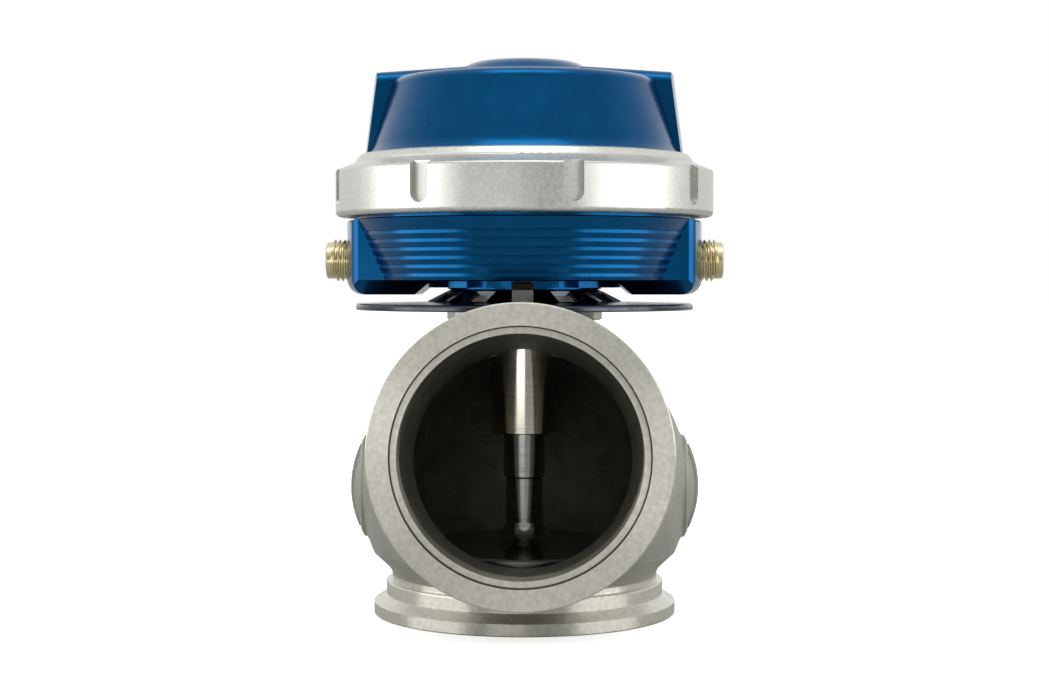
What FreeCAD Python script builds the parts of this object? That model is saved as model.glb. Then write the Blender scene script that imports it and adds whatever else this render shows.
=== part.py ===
import FreeCAD, Part
import math
import os

# Turbo wastegate, millimetres. Z is the valve axis, the inlet flange stands on z = 0
# and the outlet flange faces -Y. Each function below makes one separate piece.

# --- fits ---------------------------------------------------------------------------
RUN_GAP = 0.04          # radial gap of a shaft that slides in its bore
SEAT_GAP = 0.03         # radial gap of a piece pushed or screwed into its seat
FREE_GAP = 0.35         # radial gap between curved faces that must not touch

# --- cast body ----------------------------------------------------------------------
INLET_FLANGE_R = 40.1
INLET_RIM_Z = 3.2
INLET_CONE_Z = 5.3
INLET_NECK_R = 36.8
INLET_NECK_Z = 9.0
NECK_ROUND = 0.6
UNDERCUT_R = 35.2
UNDERCUT_Z = 10.3
FOOT_LOW = (36.5, 12.9)
FOOT_HIGH = (38.1, 14.4)
KNEE_Z = 16.4
EDGE_BREAK = 0.3
SPHERE_R = 43.7
SPHERE_Z = 33.5
CHAMBER_R = 36.0
CHAMBER_FLOOR_Z = 15.6
OUTLET_Z = 45.6
OUTLET_FACE_Y = -52.0
OUTLET_FLANGE_R = 37.5
OUTLET_RIM = 3.7
OUTLET_CONE = 5.6
OUTLET_NECK_R = 34.4
OUTLET_NECK_END = 8.6
OUTLET_TUBE_R = 33.0
OUTLET_TUBE_START = 8.0
OUTLET_STRAIGHT = 12.0
OUTLET_BORE_R = 30.0
PASSAGE_END_R = 26.6
PASSAGE_DROP = 2.6
PASSAGE_END_Y = -5.0
REGISTER_R = 31.9
REGISTER_DEPTH = 1.0
PAD_R = 14.8
PAD_DOME_R = 25.0
PAD_OUT_X = 45.9
PAD_RIB_WIDTH = 1.5
PAD_RIB_HEIGHT = 0.5
PAD_RIB_PITCH = 5.2
PAD_STEP = 1.2
PAD_ROOT_X = 30.0
TOP_FLANGE_R = 19.5
TOP_FLANGE_Z = 81.2
TOP_FLANGE_THICK = 3.2
TOP_NECK_R = 11.5
TOP_NECK_ROOT_Z = 60.0
TANG_WIDTH = 5.3
TANG_Y = (-25.3, -22.1)
TANG_ABOVE_SHIELD = 1.9
TANG_ROOT_Z = 76.0

# --- valve and guide ----------------------------------------------------------------
HEAD_R = 29.6
HEAD_BOTTOM_Z = 13.4
HEAD_SEAT_DROP = 2.2
HEAD_RIM_TOP_Z = 17.7
SHANK_R = 5.05
TULIP_R = 12.0
TULIP_RISE = 0.5
TULIP_HEIGHT = 5.8
SHANK_TOP_Z = 35.7
SMALL_EDGE = 0.5
TIP_EDGE = 0.8
SEAT_CONTACT = 0.2
STEM_R = 5.6
STEM_SHOULDER_RISE = 3.6
STEM_THREAD_R = 4.0
STEM_END_RISE = 1.9
GUIDE_R = 8.85
GUIDE_BOTTOM_Z = 47.7
GUIDE_HEAD_R = 10.4
GUIDE_HEAD_HEIGHT = 2.4
SEAT_BORE_R = 27.0
SEAT_LOWER_R = 33.0
SEAT_UPPER_R = 30.6
SEAT_STEP_Z = 5.0

# --- bolts --------------------------------------------------------------------------
BOLT_COUNT = 4
BOLT_CIRCLE_R = 16.0
BOLT_R = 2.5
BOLT_HEAD_AF = 8.0
BOLT_HEAD_HEIGHT = 3.5
BOLT_BITE = 4.2
BOLT_CLEARANCE = 0.25
SPOTFACE_MARGIN = 1.1
SPOTFACE_CLEARANCE = 0.4

# --- gasket and heat shield ---------------------------------------------------------
GASKET_THICK = 0.6
SHEET = 1.0
SHIELD_FLAT_R = 19.5
SHIELD_CONE_R = 26.1
SHIELD_CONE_DROP = 3.4
SHIELD_RIM_R = 44.8
SHIELD_RIM_TOP_DROP = 3.8
SHIELD_RIM_DROP = 5.5
SHIELD_HOLE_R = 7.0
SLOT_COUNT = 13
WINDOW_R = (20.4, 25.6)
WINDOW_WIDTH = 5.6

# --- actuator base ------------------------------------------------------------------
HUB_R = 25.5
HUB_FOOT_R = 20.5
HUB_FOOT = 0.4
HUB_SLOT_R = 21.3
HUB_SLOT_WIDTH = 5.7
HUB_HEIGHT = 2.1
WALL_HEIGHT = 16.2
WALL_BOTTOM_R = 39.4
WALL_STANDOUT = 0.2
GROOVE_TOP_DROP = 3.3
GROOVE_PITCH = 2.16
GROOVE_COUNT = 6
GROOVE_HEIGHT = 0.95
GROOVE_UNDERCUT = 0.12
LUG_STANDOUT = 1.2
LUG_HALF_WIDTH = 17.0
LUG_DROP = 3.5
LUG_TOP_DROP = 0.3
LUG_FLANK_IN = 4.4
LUG_FRONT_IN = (1.8, 3.5)
LUG_BEVEL = 3.0
LUG_INNER_X = 28.2
LUG_SLOPE_X = 23.5
LUG_CORNER_R = 4.0
RIM_R = 45.8
RIM_HEIGHT = 7.7
THREAD_PITCH = 1.5
THREAD_DEPTH = 0.6
RELIEF_DEPTH = 1.6
RELIEF_HEIGHT = 1.7
BASE_WALL = 3.9
CAVITY_FLOOR = 2.9
RIM_WALL = 5.0
CAVITY_FLARE_DROP = (12.0, 4.0)
BOSS_R = 22.0
BOSS_HEIGHT = 2.0
STEM_HOLE_R = 6.6
SEAL_R = 9.0
SEAL_HEIGHT = 3.4
SEAL_RETAINER_THICK = 1.0
PORT_RISE = 5.5
PORT_HOLE_R = 1.8

# --- port fittings ------------------------------------------------------------------
FITTING_R = 5.55
FITTING_BORE_R = 3.4
FITTING_SUNK = 6.5
FITTING_PROUD = 5.6
FITTING_PITCH = 1.27
FITTING_DEPTH = 0.7
FITTING_THREAD_COUNT = 4

# --- diaphragm stack ----------------------------------------------------------------
RUBBER = 0.8
BEAD_THICK = 1.0
BEAD_MARGIN = 0.6
PISTON_R = 32.0
RETAINER_R = 24.0
RETAINER_THICK = 1.6
CUP_R = 31.0
CUP_FLOOR = 2.0
CUP_WALL = 1.5
CUP_HEIGHT = 10.0
WASHER_R = 8.0
WASHER_THICK = 1.6
NUT_AF = 13.0
NUT_HEIGHT = 6.5

# --- cap and collar -----------------------------------------------------------------
CAP_FLANGE_THICK = 5.0
CAP_FLANGE_STEP = 3.7
CAP_NECK_HEIGHT = 3.0
CAP_FLARE_IN = 1.8
CAP_FLARE_HEIGHT = 3.5
CAP_SHOULDER_IN = 4.4
CAP_SHOULDER_HEIGHT = 14.4
CAP_CROWN_ROUND = (3.2, 2.4)
CAP_BOSS_R = 12.0
CAP_BOSS_BLEND = 10.0
CAP_BOSS_TIP_R = 2.0
CAP_BOSS_TURN = (0.089, 0.009)
CAP_BOSS_RISES = (0.5, 4.1, 0.5)
CAP_ROOF_THICK = 3.5
CAP_WALL = 4.1
ARM_HALF_WIDTH = 10.0
ARM_FOOT_RISE = 3.6
ARM_DRAFT = 2.6
ARM_END_ABOVE_CROWN = 1.2
ARM_RISE = 1.9
ARM_INNER_X = 13.0
ARM_ROUND = 3.0
PLUG_R = 4.6
PLUG_RISE = 12.5
PLUG_LENGTH = 5.1
PLUG_RECESS = 2.2
PLUG_SOCKET_AF = 4.8
PLUG_SOCKET_DEPTH = 3.0
THRUST_THICK = 0.6
COLLAR_WALL = 3.85
COLLAR_LIFT_GAP = 0.7
COLLAR_BEVEL_DROP = 1.7
COLLAR_LIP_WIDTH = 2.35
COLLAR_LIP_HEIGHT = 2.7
COLLAR_BEAD_DROP = 2.2
COLLAR_FOOT_ROUND = 1.3
COLLAR_TOP_ROUND = 0.8
COLLAR_SLOT_COUNT = 8
COLLAR_SLOT_ANGLE = 15.0
COLLAR_SLOT_WIDTH = 5.1
COLLAR_SLOT_FOOT = 2.4
COLLAR_SLOT_DEPTH = 1.7

# --- springs: mean radius, wire radius, active coils ----------------------------------
OUTER_SPRING = (25.9, 2.0, 3.2)
MIDDLE_SPRING = (18.4, 1.5, 4.0)
INNER_SPRING = (11.6, 1.1, 5.5)

# --- places that follow from the pieces stacked below ----------------------------------
WALL_TOP_R = RIM_R + WALL_STANDOUT
CAVITY_R = WALL_BOTTOM_R - BASE_WALL
CAVITY_TOP_R = RIM_R - RIM_WALL
BEAD_R = (CAVITY_TOP_R, RIM_R - BEAD_MARGIN)
LUG_R = RIM_R + LUG_STANDOUT
LUG_FLANK_X = LUG_R - LUG_FLANK_IN
FITTING_X = (LUG_R - FITTING_SUNK, LUG_R + FITTING_PROUD)
CAP_NECK_R = RIM_R - CAP_FLANGE_STEP
GASKET_Z = TOP_FLANGE_Z + TOP_FLANGE_THICK
SHIELD_Z = GASKET_Z + GASKET_THICK
HUB_Z = SHIELD_Z + SHEET
SHIELD_CONE_Z = HUB_Z - SHIELD_CONE_DROP
SHIELD_RIM_TOP_Z = HUB_Z - SHIELD_RIM_TOP_DROP
SHIELD_RIM_Z = HUB_Z - SHIELD_RIM_DROP
TANG_TOP_Z = HUB_Z + TANG_ABOVE_SHIELD
BOLT_END_Z = HUB_Z + BOLT_BITE
WALL_LOW_Z = HUB_Z + HUB_HEIGHT
WALL_TOP_Z = WALL_LOW_Z + WALL_HEIGHT
LUG_BOTTOM_Z = WALL_LOW_Z - LUG_DROP
LUG_TOP_Z = WALL_TOP_Z - LUG_TOP_DROP
CAVITY_FLOOR_Z = WALL_LOW_Z + CAVITY_FLOOR
BOSS_TOP_Z = CAVITY_FLOOR_Z + BOSS_HEIGHT
SEAL_TOP_Z = BOSS_TOP_Z - SEAL_RETAINER_THICK
SEAL_LOW_Z = SEAL_TOP_Z - SEAL_HEIGHT
PORT_Z = WALL_LOW_Z + PORT_RISE
RIM_TOP_Z = WALL_TOP_Z + RIM_HEIGHT
STEM_SHOULDER_Z = BOSS_TOP_Z + STEM_SHOULDER_RISE
RUBBER_Z = STEM_SHOULDER_Z + RETAINER_THICK
CUP_Z = RUBBER_Z + RUBBER
CUP_TOP_FLOOR_Z = CUP_Z + CUP_FLOOR
NUT_Z = CUP_TOP_FLOOR_Z + WASHER_THICK
STEM_TOP_Z = NUT_Z + NUT_HEIGHT + STEM_END_RISE
CAP_Z = RIM_TOP_Z + BEAD_THICK
CAP_FLANGE_TOP_Z = CAP_Z + CAP_FLANGE_THICK
CAP_NECK_Z = CAP_FLANGE_TOP_Z + CAP_NECK_HEIGHT
CAP_FLARE_R = CAP_NECK_R - CAP_FLARE_IN
CAP_FLARE_Z = CAP_NECK_Z + CAP_FLARE_HEIGHT
CAP_SHOULDER_R = CAP_FLARE_R - CAP_SHOULDER_IN
CAP_SHOULDER_Z = CAP_FLARE_Z + CAP_SHOULDER_HEIGHT
CAP_CROWN_R = CAP_SHOULDER_R - CAP_CROWN_ROUND[0]
CAP_CROWN_Z = CAP_SHOULDER_Z + CAP_CROWN_ROUND[1]
CAP_ROOF_Z = CAP_CROWN_Z - CAP_ROOF_THICK
ARM_BOTTOM_Z = CAP_FLANGE_TOP_Z + ARM_FOOT_RISE
ARM_TOP_R = CAP_NECK_R - ARM_DRAFT
ARM_END_Z = CAP_CROWN_Z + ARM_END_ABOVE_CROWN
PLUG_Z = CAP_FLANGE_TOP_Z + PLUG_RISE
THRUST_Z = CAP_FLANGE_TOP_Z
LIP_Z = THRUST_Z + THRUST_THICK
COLLAR_BORE_R = RIM_R + FREE_GAP
COLLAR_R = COLLAR_BORE_R + COLLAR_WALL
COLLAR_BOTTOM_Z = WALL_TOP_Z + COLLAR_LIFT_GAP
COLLAR_LIP_R = CAP_NECK_R + FREE_GAP
COLLAR_TOP_Z = LIP_Z + COLLAR_LIP_HEIGHT
COLLAR_BEVEL_R = COLLAR_LIP_R + COLLAR_LIP_WIDTH
COLLAR_BEVEL_Z = COLLAR_TOP_Z - COLLAR_BEAD_DROP
COLLAR_WALL_TOP_Z = COLLAR_BEVEL_Z - COLLAR_BEVEL_DROP
COLLAR_SLOT_Z = COLLAR_BOTTOM_Z + COLLAR_SLOT_FOOT
QUARTER = (math.sqrt(2) - 1) / 2    # rise of a quarter circle over its chord

V = FreeCAD.Vector
Z_AXIS = V(0, 0, 1)
Y_AXIS = V(0, 1, 0)
X_AXIS = V(1, 0, 0)


def edges_from(points):
    """Line edges through (u, v) points; an item with a third and fourth number is an
    arc through that middle point."""
    edges = []
    for start, end in zip(points, points[1:] + points[:1]):
        a = V(start[0], 0, start[1])
        b = V(end[0], 0, end[1])
        if len(end) == 4:
            edges.append(Part.Arc(a, V(end[2], 0, end[3]), b).toShape())
        elif a.distanceToPoint(b) > 1e-6:
            edges.append(Part.makeLine(a, b))
    return edges


def arc_to(start, end, rise):
    """Arc from start to end that bulges to the right of the way by rise times its chord."""
    run_u = end[0] - start[0]
    run_v = end[1] - start[1]
    return (end[0], end[1], (start[0] + end[0]) / 2 + run_v * rise,
            (start[1] + end[1]) / 2 - run_u * rise)


def face_xz(points):
    return Part.Face(Part.Wire(edges_from(points)))


def turned(points):
    """Solid of revolution about Z from (r, z) points."""
    return face_xz(points).revolve(V(0, 0, 0), Z_AXIS, 360)


def tube(outer_r, inner_r, low_z, high_z):
    ring = Part.makeCylinder(outer_r, high_z - low_z, V(0, 0, low_z))
    if inner_r > 0:
        ring = ring.cut(Part.makeCylinder(inner_r, high_z - low_z, V(0, 0, low_z)))
    return ring


def prism_y(points, half_width):
    """XZ outline pushed out to +half_width and -half_width in Y."""
    solid = face_xz(points).extrude(V(0, 2 * half_width, 0))
    solid.translate(V(0, -half_width, 0))
    return solid


def prism_x(points, length):
    """YZ outline pushed out from the middle to length along +X."""
    face = face_xz(points)
    face.rotate(V(0, 0, 0), Z_AXIS, 90)
    return face.extrude(V(length, 0, 0))


def prism_z(points, low_z, high_z):
    """XY outline pushed up from low_z to high_z."""
    face = face_xz(points)
    face.rotate(V(0, 0, 0), X_AXIS, -90)
    solid = face.extrude(V(0, 0, high_z - low_z))
    solid.translate(V(0, 0, low_z))
    return solid


def around(shape, count, first=0.0):
    """Copies of a shape at equal angles about Z."""
    copies = []
    for index in range(count):
        copy = shape.copy()
        copy.rotate(V(0, 0, 0), Z_AXIS, first + index * 360.0 / count)
        copies.append(copy)
    return copies


def mirrored(shape):
    return shape.mirror(V(0, 0, 0), X_AXIS)


def hexagon(across_flats, height, low_z):
    corner_r = across_flats / math.sqrt(3)
    points = []
    for index in range(7):
        angle = math.radians(60 * index)
        points.append(V(corner_r * math.cos(angle), corner_r * math.sin(angle), low_z))
    face = Part.Face(Part.makePolygon(points))
    return face.extrude(V(0, 0, height))


def laid_on_x(shape):
    """Turns a shape built on Z so that its axis lies along +X."""
    copy = shape.copy()
    copy.rotate(V(0, 0, 0), Y_AXIS, 90)
    return copy


def laid_on_minus_y(shape):
    """Turns a shape built on Z so that its axis lies along -Y."""
    copy = shape.copy()
    copy.rotate(V(0, 0, 0), X_AXIS, 90)
    return copy


def sphere_r_at(radius, height):
    return math.sqrt(radius ** 2 - height ** 2)


# --- the cast body ------------------------------------------------------------------
def body_skin():
    """Inlet flange, machined neck and the round casting, turned about Z."""
    knee_r = sphere_r_at(SPHERE_R, SPHERE_Z - KNEE_Z)
    neck_low = (INLET_NECK_R, INLET_NECK_Z - NECK_ROUND)
    neck_top = (INLET_NECK_R - NECK_ROUND, INLET_NECK_Z)
    undercut = (UNDERCUT_R, UNDERCUT_Z)
    return turned([
        (0, 0), (INLET_FLANGE_R - EDGE_BREAK, 0), (INLET_FLANGE_R, EDGE_BREAK),
        (INLET_FLANGE_R, INLET_RIM_Z), (INLET_NECK_R, INLET_CONE_Z), neck_low,
        arc_to(neck_low, neck_top, QUARTER), (UNDERCUT_R, INLET_NECK_Z), undercut,
        arc_to(undercut, FOOT_LOW, -0.09), FOOT_HIGH, (knee_r, KNEE_Z),
        (0, SPHERE_Z + SPHERE_R, SPHERE_R, SPHERE_Z)])


def pad_drum(radius):
    return Part.makeCylinder(radius, PAD_DOME_R, V(PAD_ROOT_X, 0, SPHERE_Z), X_AXIS)


def side_pad():
    """Domed pad on the +X side with a raised border and three plain ribs."""
    dome_centre = V(PAD_OUT_X - PAD_DOME_R, 0, SPHERE_Z)
    raised = Part.makeSphere(PAD_DOME_R + PAD_RIB_HEIGHT, dome_centre)
    pad = Part.makeSphere(PAD_DOME_R, dome_centre).common(pad_drum(PAD_R))
    ribs = []
    for index in (-1, 0, 1):
        corner = V(PAD_ROOT_X, index * PAD_RIB_PITCH - PAD_RIB_WIDTH / 2, SPHERE_Z - PAD_R)
        bar = Part.makeBox(PAD_DOME_R, PAD_RIB_WIDTH, 2 * PAD_R, corner)
        ribs.append(bar.common(raised).common(pad_drum(PAD_R - 3 * PAD_STEP)))
    border = pad_drum(PAD_R - PAD_STEP).cut(pad_drum(PAD_R - 2 * PAD_STEP))
    return pad.multiFuse(ribs + [border.common(raised)])


def outlet_skin():
    """Outlet flange and tube, built on Z and laid along -Y."""
    length = -OUTLET_FACE_Y
    shape = turned([
        (0, OUTLET_TUBE_START), (OUTLET_TUBE_R, OUTLET_TUBE_START),
        (OUTLET_TUBE_R, length - OUTLET_NECK_END - NECK_ROUND),
        (OUTLET_NECK_R, length - OUTLET_NECK_END), (OUTLET_NECK_R, length - OUTLET_CONE),
        (OUTLET_FLANGE_R, length - OUTLET_RIM), (OUTLET_FLANGE_R, length - EDGE_BREAK),
        (OUTLET_FLANGE_R - EDGE_BREAK, length), (0, length)])
    shape = laid_on_minus_y(shape)
    shape.translate(V(0, 0, OUTLET_Z))
    return shape


def outlet_hollow():
    """Register and bore of the outlet, then a passage that narrows towards the guide."""
    length = -OUTLET_FACE_Y
    start = length - OUTLET_STRAIGHT
    bore = laid_on_minus_y(turned([
        (0, start), (OUTLET_BORE_R, start), (OUTLET_BORE_R, length - REGISTER_DEPTH),
        (REGISTER_R, length - REGISTER_DEPTH), (REGISTER_R, length + 1), (0, length + 1)]))
    bore.translate(V(0, 0, OUTLET_Z))
    front = Part.makeCircle(OUTLET_BORE_R, V(0, -start, OUTLET_Z), Y_AXIS)
    back = Part.makeCircle(
        PASSAGE_END_R, V(0, PASSAGE_END_Y, OUTLET_Z - PASSAGE_DROP), Y_AXIS)
    return bore.fuse(Part.makeLoft([Part.Wire(front), Part.Wire(back)], True, True))


def chamber_hollow():
    floor_r = sphere_r_at(CHAMBER_R, SPHERE_Z - CHAMBER_FLOOR_Z)
    return turned([
        (0, CHAMBER_FLOOR_Z), (floor_r, CHAMBER_FLOOR_Z),
        (0, SPHERE_Z + CHAMBER_R, CHAMBER_R, SPHERE_Z)])


def bolt_positions(shape):
    moved = shape.copy()
    moved.translate(V(BOLT_CIRCLE_R, 0, 0))
    return around(moved, BOLT_COUNT)


def tang():
    """Upright key on the outlet tube that turns the actuator to its place."""
    block = Part.makeBox(
        TANG_WIDTH, TANG_Y[1] - TANG_Y[0], TANG_TOP_Z - TANG_ROOT_Z,
        V(-TANG_WIDTH / 2, TANG_Y[0], TANG_ROOT_Z))
    top = [e for e in block.Edges if e.BoundBox.ZMin > TANG_TOP_Z - EDGE_BREAK]
    return block.makeFillet(NECK_ROUND, top)


def guide_hole():
    head_z = GASKET_Z - GUIDE_HEAD_HEIGHT
    return turned([
        (0, TOP_NECK_ROOT_Z), (GUIDE_R + SEAT_GAP, TOP_NECK_ROOT_Z),
        (GUIDE_R + SEAT_GAP, head_z), (GUIDE_HEAD_R + SEAT_GAP, head_z),
        (GUIDE_HEAD_R + SEAT_GAP, GASKET_Z + 1), (0, GASKET_Z + 1)])


def seat_hole():
    lower_r = SEAT_LOWER_R + SEAT_GAP
    upper_r = SEAT_UPPER_R + SEAT_GAP
    return turned([
        (0, -1), (lower_r, -1), (lower_r, SEAT_STEP_Z), (upper_r, SEAT_STEP_Z),
        (upper_r, CHAMBER_FLOOR_Z + 0.5), (0, CHAMBER_FLOOR_Z + 0.5)])


def bolt_clearance(low_z, high_z):
    hole = Part.makeCylinder(BOLT_R + BOLT_CLEARANCE, high_z - low_z, V(0, 0, low_z))
    return bolt_positions(hole)


def valve_body():
    body = body_skin().multiFuse([side_pad(), mirrored(side_pad()), outlet_skin()])
    neck = tube(TOP_NECK_R, 0, TOP_NECK_ROOT_Z, GASKET_Z)
    top = tube(TOP_FLANGE_R, 0, TOP_FLANGE_Z, GASKET_Z)
    pocket_r = BOLT_HEAD_AF / math.sqrt(3) + SPOTFACE_MARGIN
    pocket = tube(pocket_r, 0, TOP_FLANGE_Z - BOLT_HEAD_HEIGHT - SPOTFACE_CLEARANCE,
                  TOP_FLANGE_Z)
    body = body.multiFuse([neck, top]).cut(Part.Compound(bolt_positions(pocket)))
    return body.multiFuse([tang()]).cut(Part.Compound(
        [chamber_hollow(), outlet_hollow(), seat_hole(), guide_hole()]
        + bolt_clearance(TOP_FLANGE_Z - 1, GASKET_Z + 1)))


def valve_seat():
    """Hard seat ring held in the inlet flange; its top cone meets the valve head."""
    contact_z = HEAD_BOTTOM_Z + SEAT_CONTACT
    contact_r = HEAD_R - HEAD_SEAT_DROP + SEAT_CONTACT
    top_z = CHAMBER_FLOOR_Z - EDGE_BREAK
    top_r = contact_r + top_z - contact_z
    return turned([
        (SEAT_BORE_R, 0), (SEAT_LOWER_R, 0),
        (SEAT_LOWER_R, SEAT_STEP_Z), (SEAT_UPPER_R, SEAT_STEP_Z), (SEAT_UPPER_R, top_z),
        (top_r, top_z), (SEAT_BORE_R, contact_z - contact_r + SEAT_BORE_R)])


def poppet_valve():
    """Head with a tulip flare, turned shank, ground stem and a threaded end."""
    face_r = HEAD_R - HEAD_SEAT_DROP
    dish_z = HEAD_BOTTOM_Z + TIP_EDGE
    flare = (TULIP_R, HEAD_RIM_TOP_Z + TULIP_RISE)
    shank = (SHANK_R, flare[1] + TULIP_HEIGHT)
    return turned([
        (0, dish_z), (face_r - HEAD_SEAT_DROP - TIP_EDGE, dish_z),
        (face_r - HEAD_SEAT_DROP, HEAD_BOTTOM_Z), (face_r, HEAD_BOTTOM_Z),
        (HEAD_R, HEAD_BOTTOM_Z + HEAD_SEAT_DROP), (HEAD_R, HEAD_RIM_TOP_Z - SMALL_EDGE),
        (HEAD_R - SMALL_EDGE, HEAD_RIM_TOP_Z), flare, arc_to(flare, shank, -QUARTER / 1.2),
        (SHANK_R, SHANK_TOP_Z), (STEM_R, SHANK_TOP_Z + SMALL_EDGE),
        (STEM_R, STEM_SHOULDER_Z - EDGE_BREAK), (STEM_R - EDGE_BREAK, STEM_SHOULDER_Z),
        (STEM_THREAD_R, STEM_SHOULDER_Z), (STEM_THREAD_R, STEM_TOP_Z - TIP_EDGE),
        (STEM_THREAD_R - TIP_EDGE, STEM_TOP_Z), (0, STEM_TOP_Z)])


def valve_guide():
    bore_r = STEM_R + RUN_GAP
    head_z = GASKET_Z - GUIDE_HEAD_HEIGHT
    return turned([
        (bore_r + EDGE_BREAK, GUIDE_BOTTOM_Z), (GUIDE_R - EDGE_BREAK, GUIDE_BOTTOM_Z),
        (GUIDE_R, GUIDE_BOTTOM_Z + EDGE_BREAK), (GUIDE_R, head_z), (GUIDE_HEAD_R, head_z),
        (GUIDE_HEAD_R, GASKET_Z), (bore_r, GASKET_Z),
        (bore_r, GUIDE_BOTTOM_Z + EDGE_BREAK)])


# --- the joint between body and actuator -----------------------------------------------
def body_bolts():
    head_z = TOP_FLANGE_Z - BOLT_HEAD_HEIGHT
    head = hexagon(BOLT_HEAD_AF, BOLT_HEAD_HEIGHT, head_z)
    chamfer = Part.makeCone(
        BOLT_HEAD_AF / 2, BOLT_HEAD_AF / 2 + BOLT_HEAD_HEIGHT * math.sqrt(3),
        BOLT_HEAD_HEIGHT, V(0, 0, head_z))
    shank = tube(BOLT_R, 0, TOP_FLANGE_Z - 1, BOLT_END_Z)
    tip = [e for e in shank.Edges if e.BoundBox.ZMin > BOLT_END_Z - EDGE_BREAK]
    bolt = head.common(chamfer).fuse(shank.makeChamfer(BOLT_R / 5, tip))
    return Part.Compound(bolt_positions(bolt))


def shield_gasket():
    ring = tube(SHIELD_FLAT_R - NECK_ROUND, SHIELD_HOLE_R, GASKET_Z, SHIELD_Z)
    return ring.cut(Part.Compound(bolt_clearance(GASKET_Z - 1, SHIELD_Z + 1)))


def heat_shield():
    """Pressed sheet: flat middle, windowed cone, dished skirt and a rolled rim."""
    rim_r = SHIELD_RIM_R
    lip = 0.8 * SHEET
    roll_low = (rim_r, SHIELD_RIM_TOP_Z - lip)
    roll_top = (rim_r - lip, SHIELD_RIM_TOP_Z)
    sheet = turned([
        (SHIELD_HOLE_R, SHIELD_Z), (SHIELD_FLAT_R - 0.4 * SHEET, SHIELD_Z),
        (SHIELD_CONE_R - 0.5 * SHEET, SHIELD_CONE_Z - SHEET),
        (rim_r - 2 * lip, SHIELD_RIM_TOP_Z - SHEET),
        (rim_r - 1.4 * lip, SHIELD_RIM_Z + EDGE_BREAK), (rim_r - lip, SHIELD_RIM_Z),
        (rim_r - EDGE_BREAK, SHIELD_RIM_Z), (rim_r, SHIELD_RIM_Z + EDGE_BREAK),
        roll_low, arc_to(roll_low, roll_top, QUARTER),
        (SHIELD_CONE_R, SHIELD_CONE_Z), (SHIELD_FLAT_R, HUB_Z), (SHIELD_HOLE_R, HUB_Z)])
    window = Part.makeBox(
        WINDOW_R[1] - WINDOW_R[0], WINDOW_WIDTH, SHIELD_CONE_DROP + 4 * SHEET,
        V(WINDOW_R[0], -WINDOW_WIDTH / 2, SHIELD_CONE_Z - 3 * SHEET))
    return sheet.cut(Part.Compound(
        around(window, SLOT_COUNT, -90) + bolt_clearance(SHIELD_Z - 1, HUB_Z + 1)))


# --- actuator base -------------------------------------------------------------------
def wall_r(z):
    share = (z - WALL_LOW_Z) / (WALL_TOP_Z - WALL_LOW_Z)
    return WALL_BOTTOM_R + share * (WALL_TOP_R - WALL_BOTTOM_R)


def ribbed_wall():
    """Tapered wall with turned grooves between the two lugs."""
    low = WALL_LOW_Z + EDGE_BREAK
    high = WALL_TOP_Z - EDGE_BREAK
    wall = turned([
        (0, WALL_LOW_Z), (wall_r(low) - NECK_ROUND, WALL_LOW_Z), (wall_r(low), low),
        (wall_r(high), high), (wall_r(high) - NECK_ROUND, WALL_TOP_Z), (0, WALL_TOP_Z)])
    grooves = []
    for index in range(GROOVE_COUNT):
        top_z = WALL_TOP_Z - GROOVE_TOP_DROP - index * GROOVE_PITCH
        low_z = top_z - GROOVE_HEIGHT
        face_r = wall_r(low_z)
        grooves.append(turned([
            (face_r - GROOVE_UNDERCUT, top_z), (face_r, low_z),
            (LUG_R + LUG_CORNER_R, low_z), (LUG_R + LUG_CORNER_R, top_z)]))
    return wall.cut(Part.Compound(grooves))


def lug():
    """Port lug on the +X side: round outer face, flat flanks, skirt below the wall."""
    corner = LUG_CORNER_R
    x_out = LUG_R + corner
    root_x = LUG_SLOPE_X - corner
    half = LUG_HALF_WIDTH
    slope_z = WALL_LOW_Z + EDGE_BREAK
    foot = (LUG_R - corner, LUG_BOTTOM_Z)
    side = (LUG_R, LUG_BOTTOM_Z + corner)
    block = prism_y([
        (root_x, LUG_TOP_Z), (root_x, slope_z), (LUG_SLOPE_X, slope_z),
        (LUG_INNER_X, LUG_BOTTOM_Z), (x_out, LUG_BOTTOM_Z), (x_out, LUG_TOP_Z)], half)
    drum = turned([
        (0, LUG_BOTTOM_Z), foot, arc_to(foot, side, QUARTER),
        (LUG_R, LUG_TOP_Z - NECK_ROUND), (LUG_R - NECK_ROUND, LUG_TOP_Z), (0, LUG_TOP_Z)])
    plan = prism_z(lug_plan(half), LUG_BOTTOM_Z, WALL_TOP_Z)
    sides = prism_x([
        (-half, WALL_TOP_Z), (-half, slope_z), (LUG_BEVEL - half, LUG_BOTTOM_Z),
        (half - LUG_BEVEL, LUG_BOTTOM_Z), (half, slope_z), (half, WALL_TOP_Z)], x_out)
    return block.common(drum).common(plan).common(sides)


def lug_plan(half):
    """Outline of a lug seen from above, with rounded outer corners."""
    x_out = LUG_R + LUG_CORNER_R
    corner_x = LUG_R - LUG_FRONT_IN[0]
    corner_y = half - LUG_FRONT_IN[1]
    right = (LUG_FLANK_X, -half)
    front = (corner_x, -corner_y)
    back = (corner_x, corner_y)
    return [
        (0, -half), right, arc_to(right, front, QUARTER / 2), (x_out, -corner_y),
        (x_out, corner_y), back, arc_to(back, (LUG_FLANK_X, half), QUARTER / 2), (0, half)]


def ring_thread(radius, depth, first_z, count, pitch):
    """Thread shown as V rings cut into a wall of the given radius."""
    rings = []
    sign = 1 if depth > 0 else -1
    for index in range(count):
        z = first_z + index * pitch
        half = 0.42 * pitch
        rings.append(turned([
            (radius + sign * 0.2, z - half), (radius - depth, z),
            (radius + sign * 0.2, z + half)]))
    return rings


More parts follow.
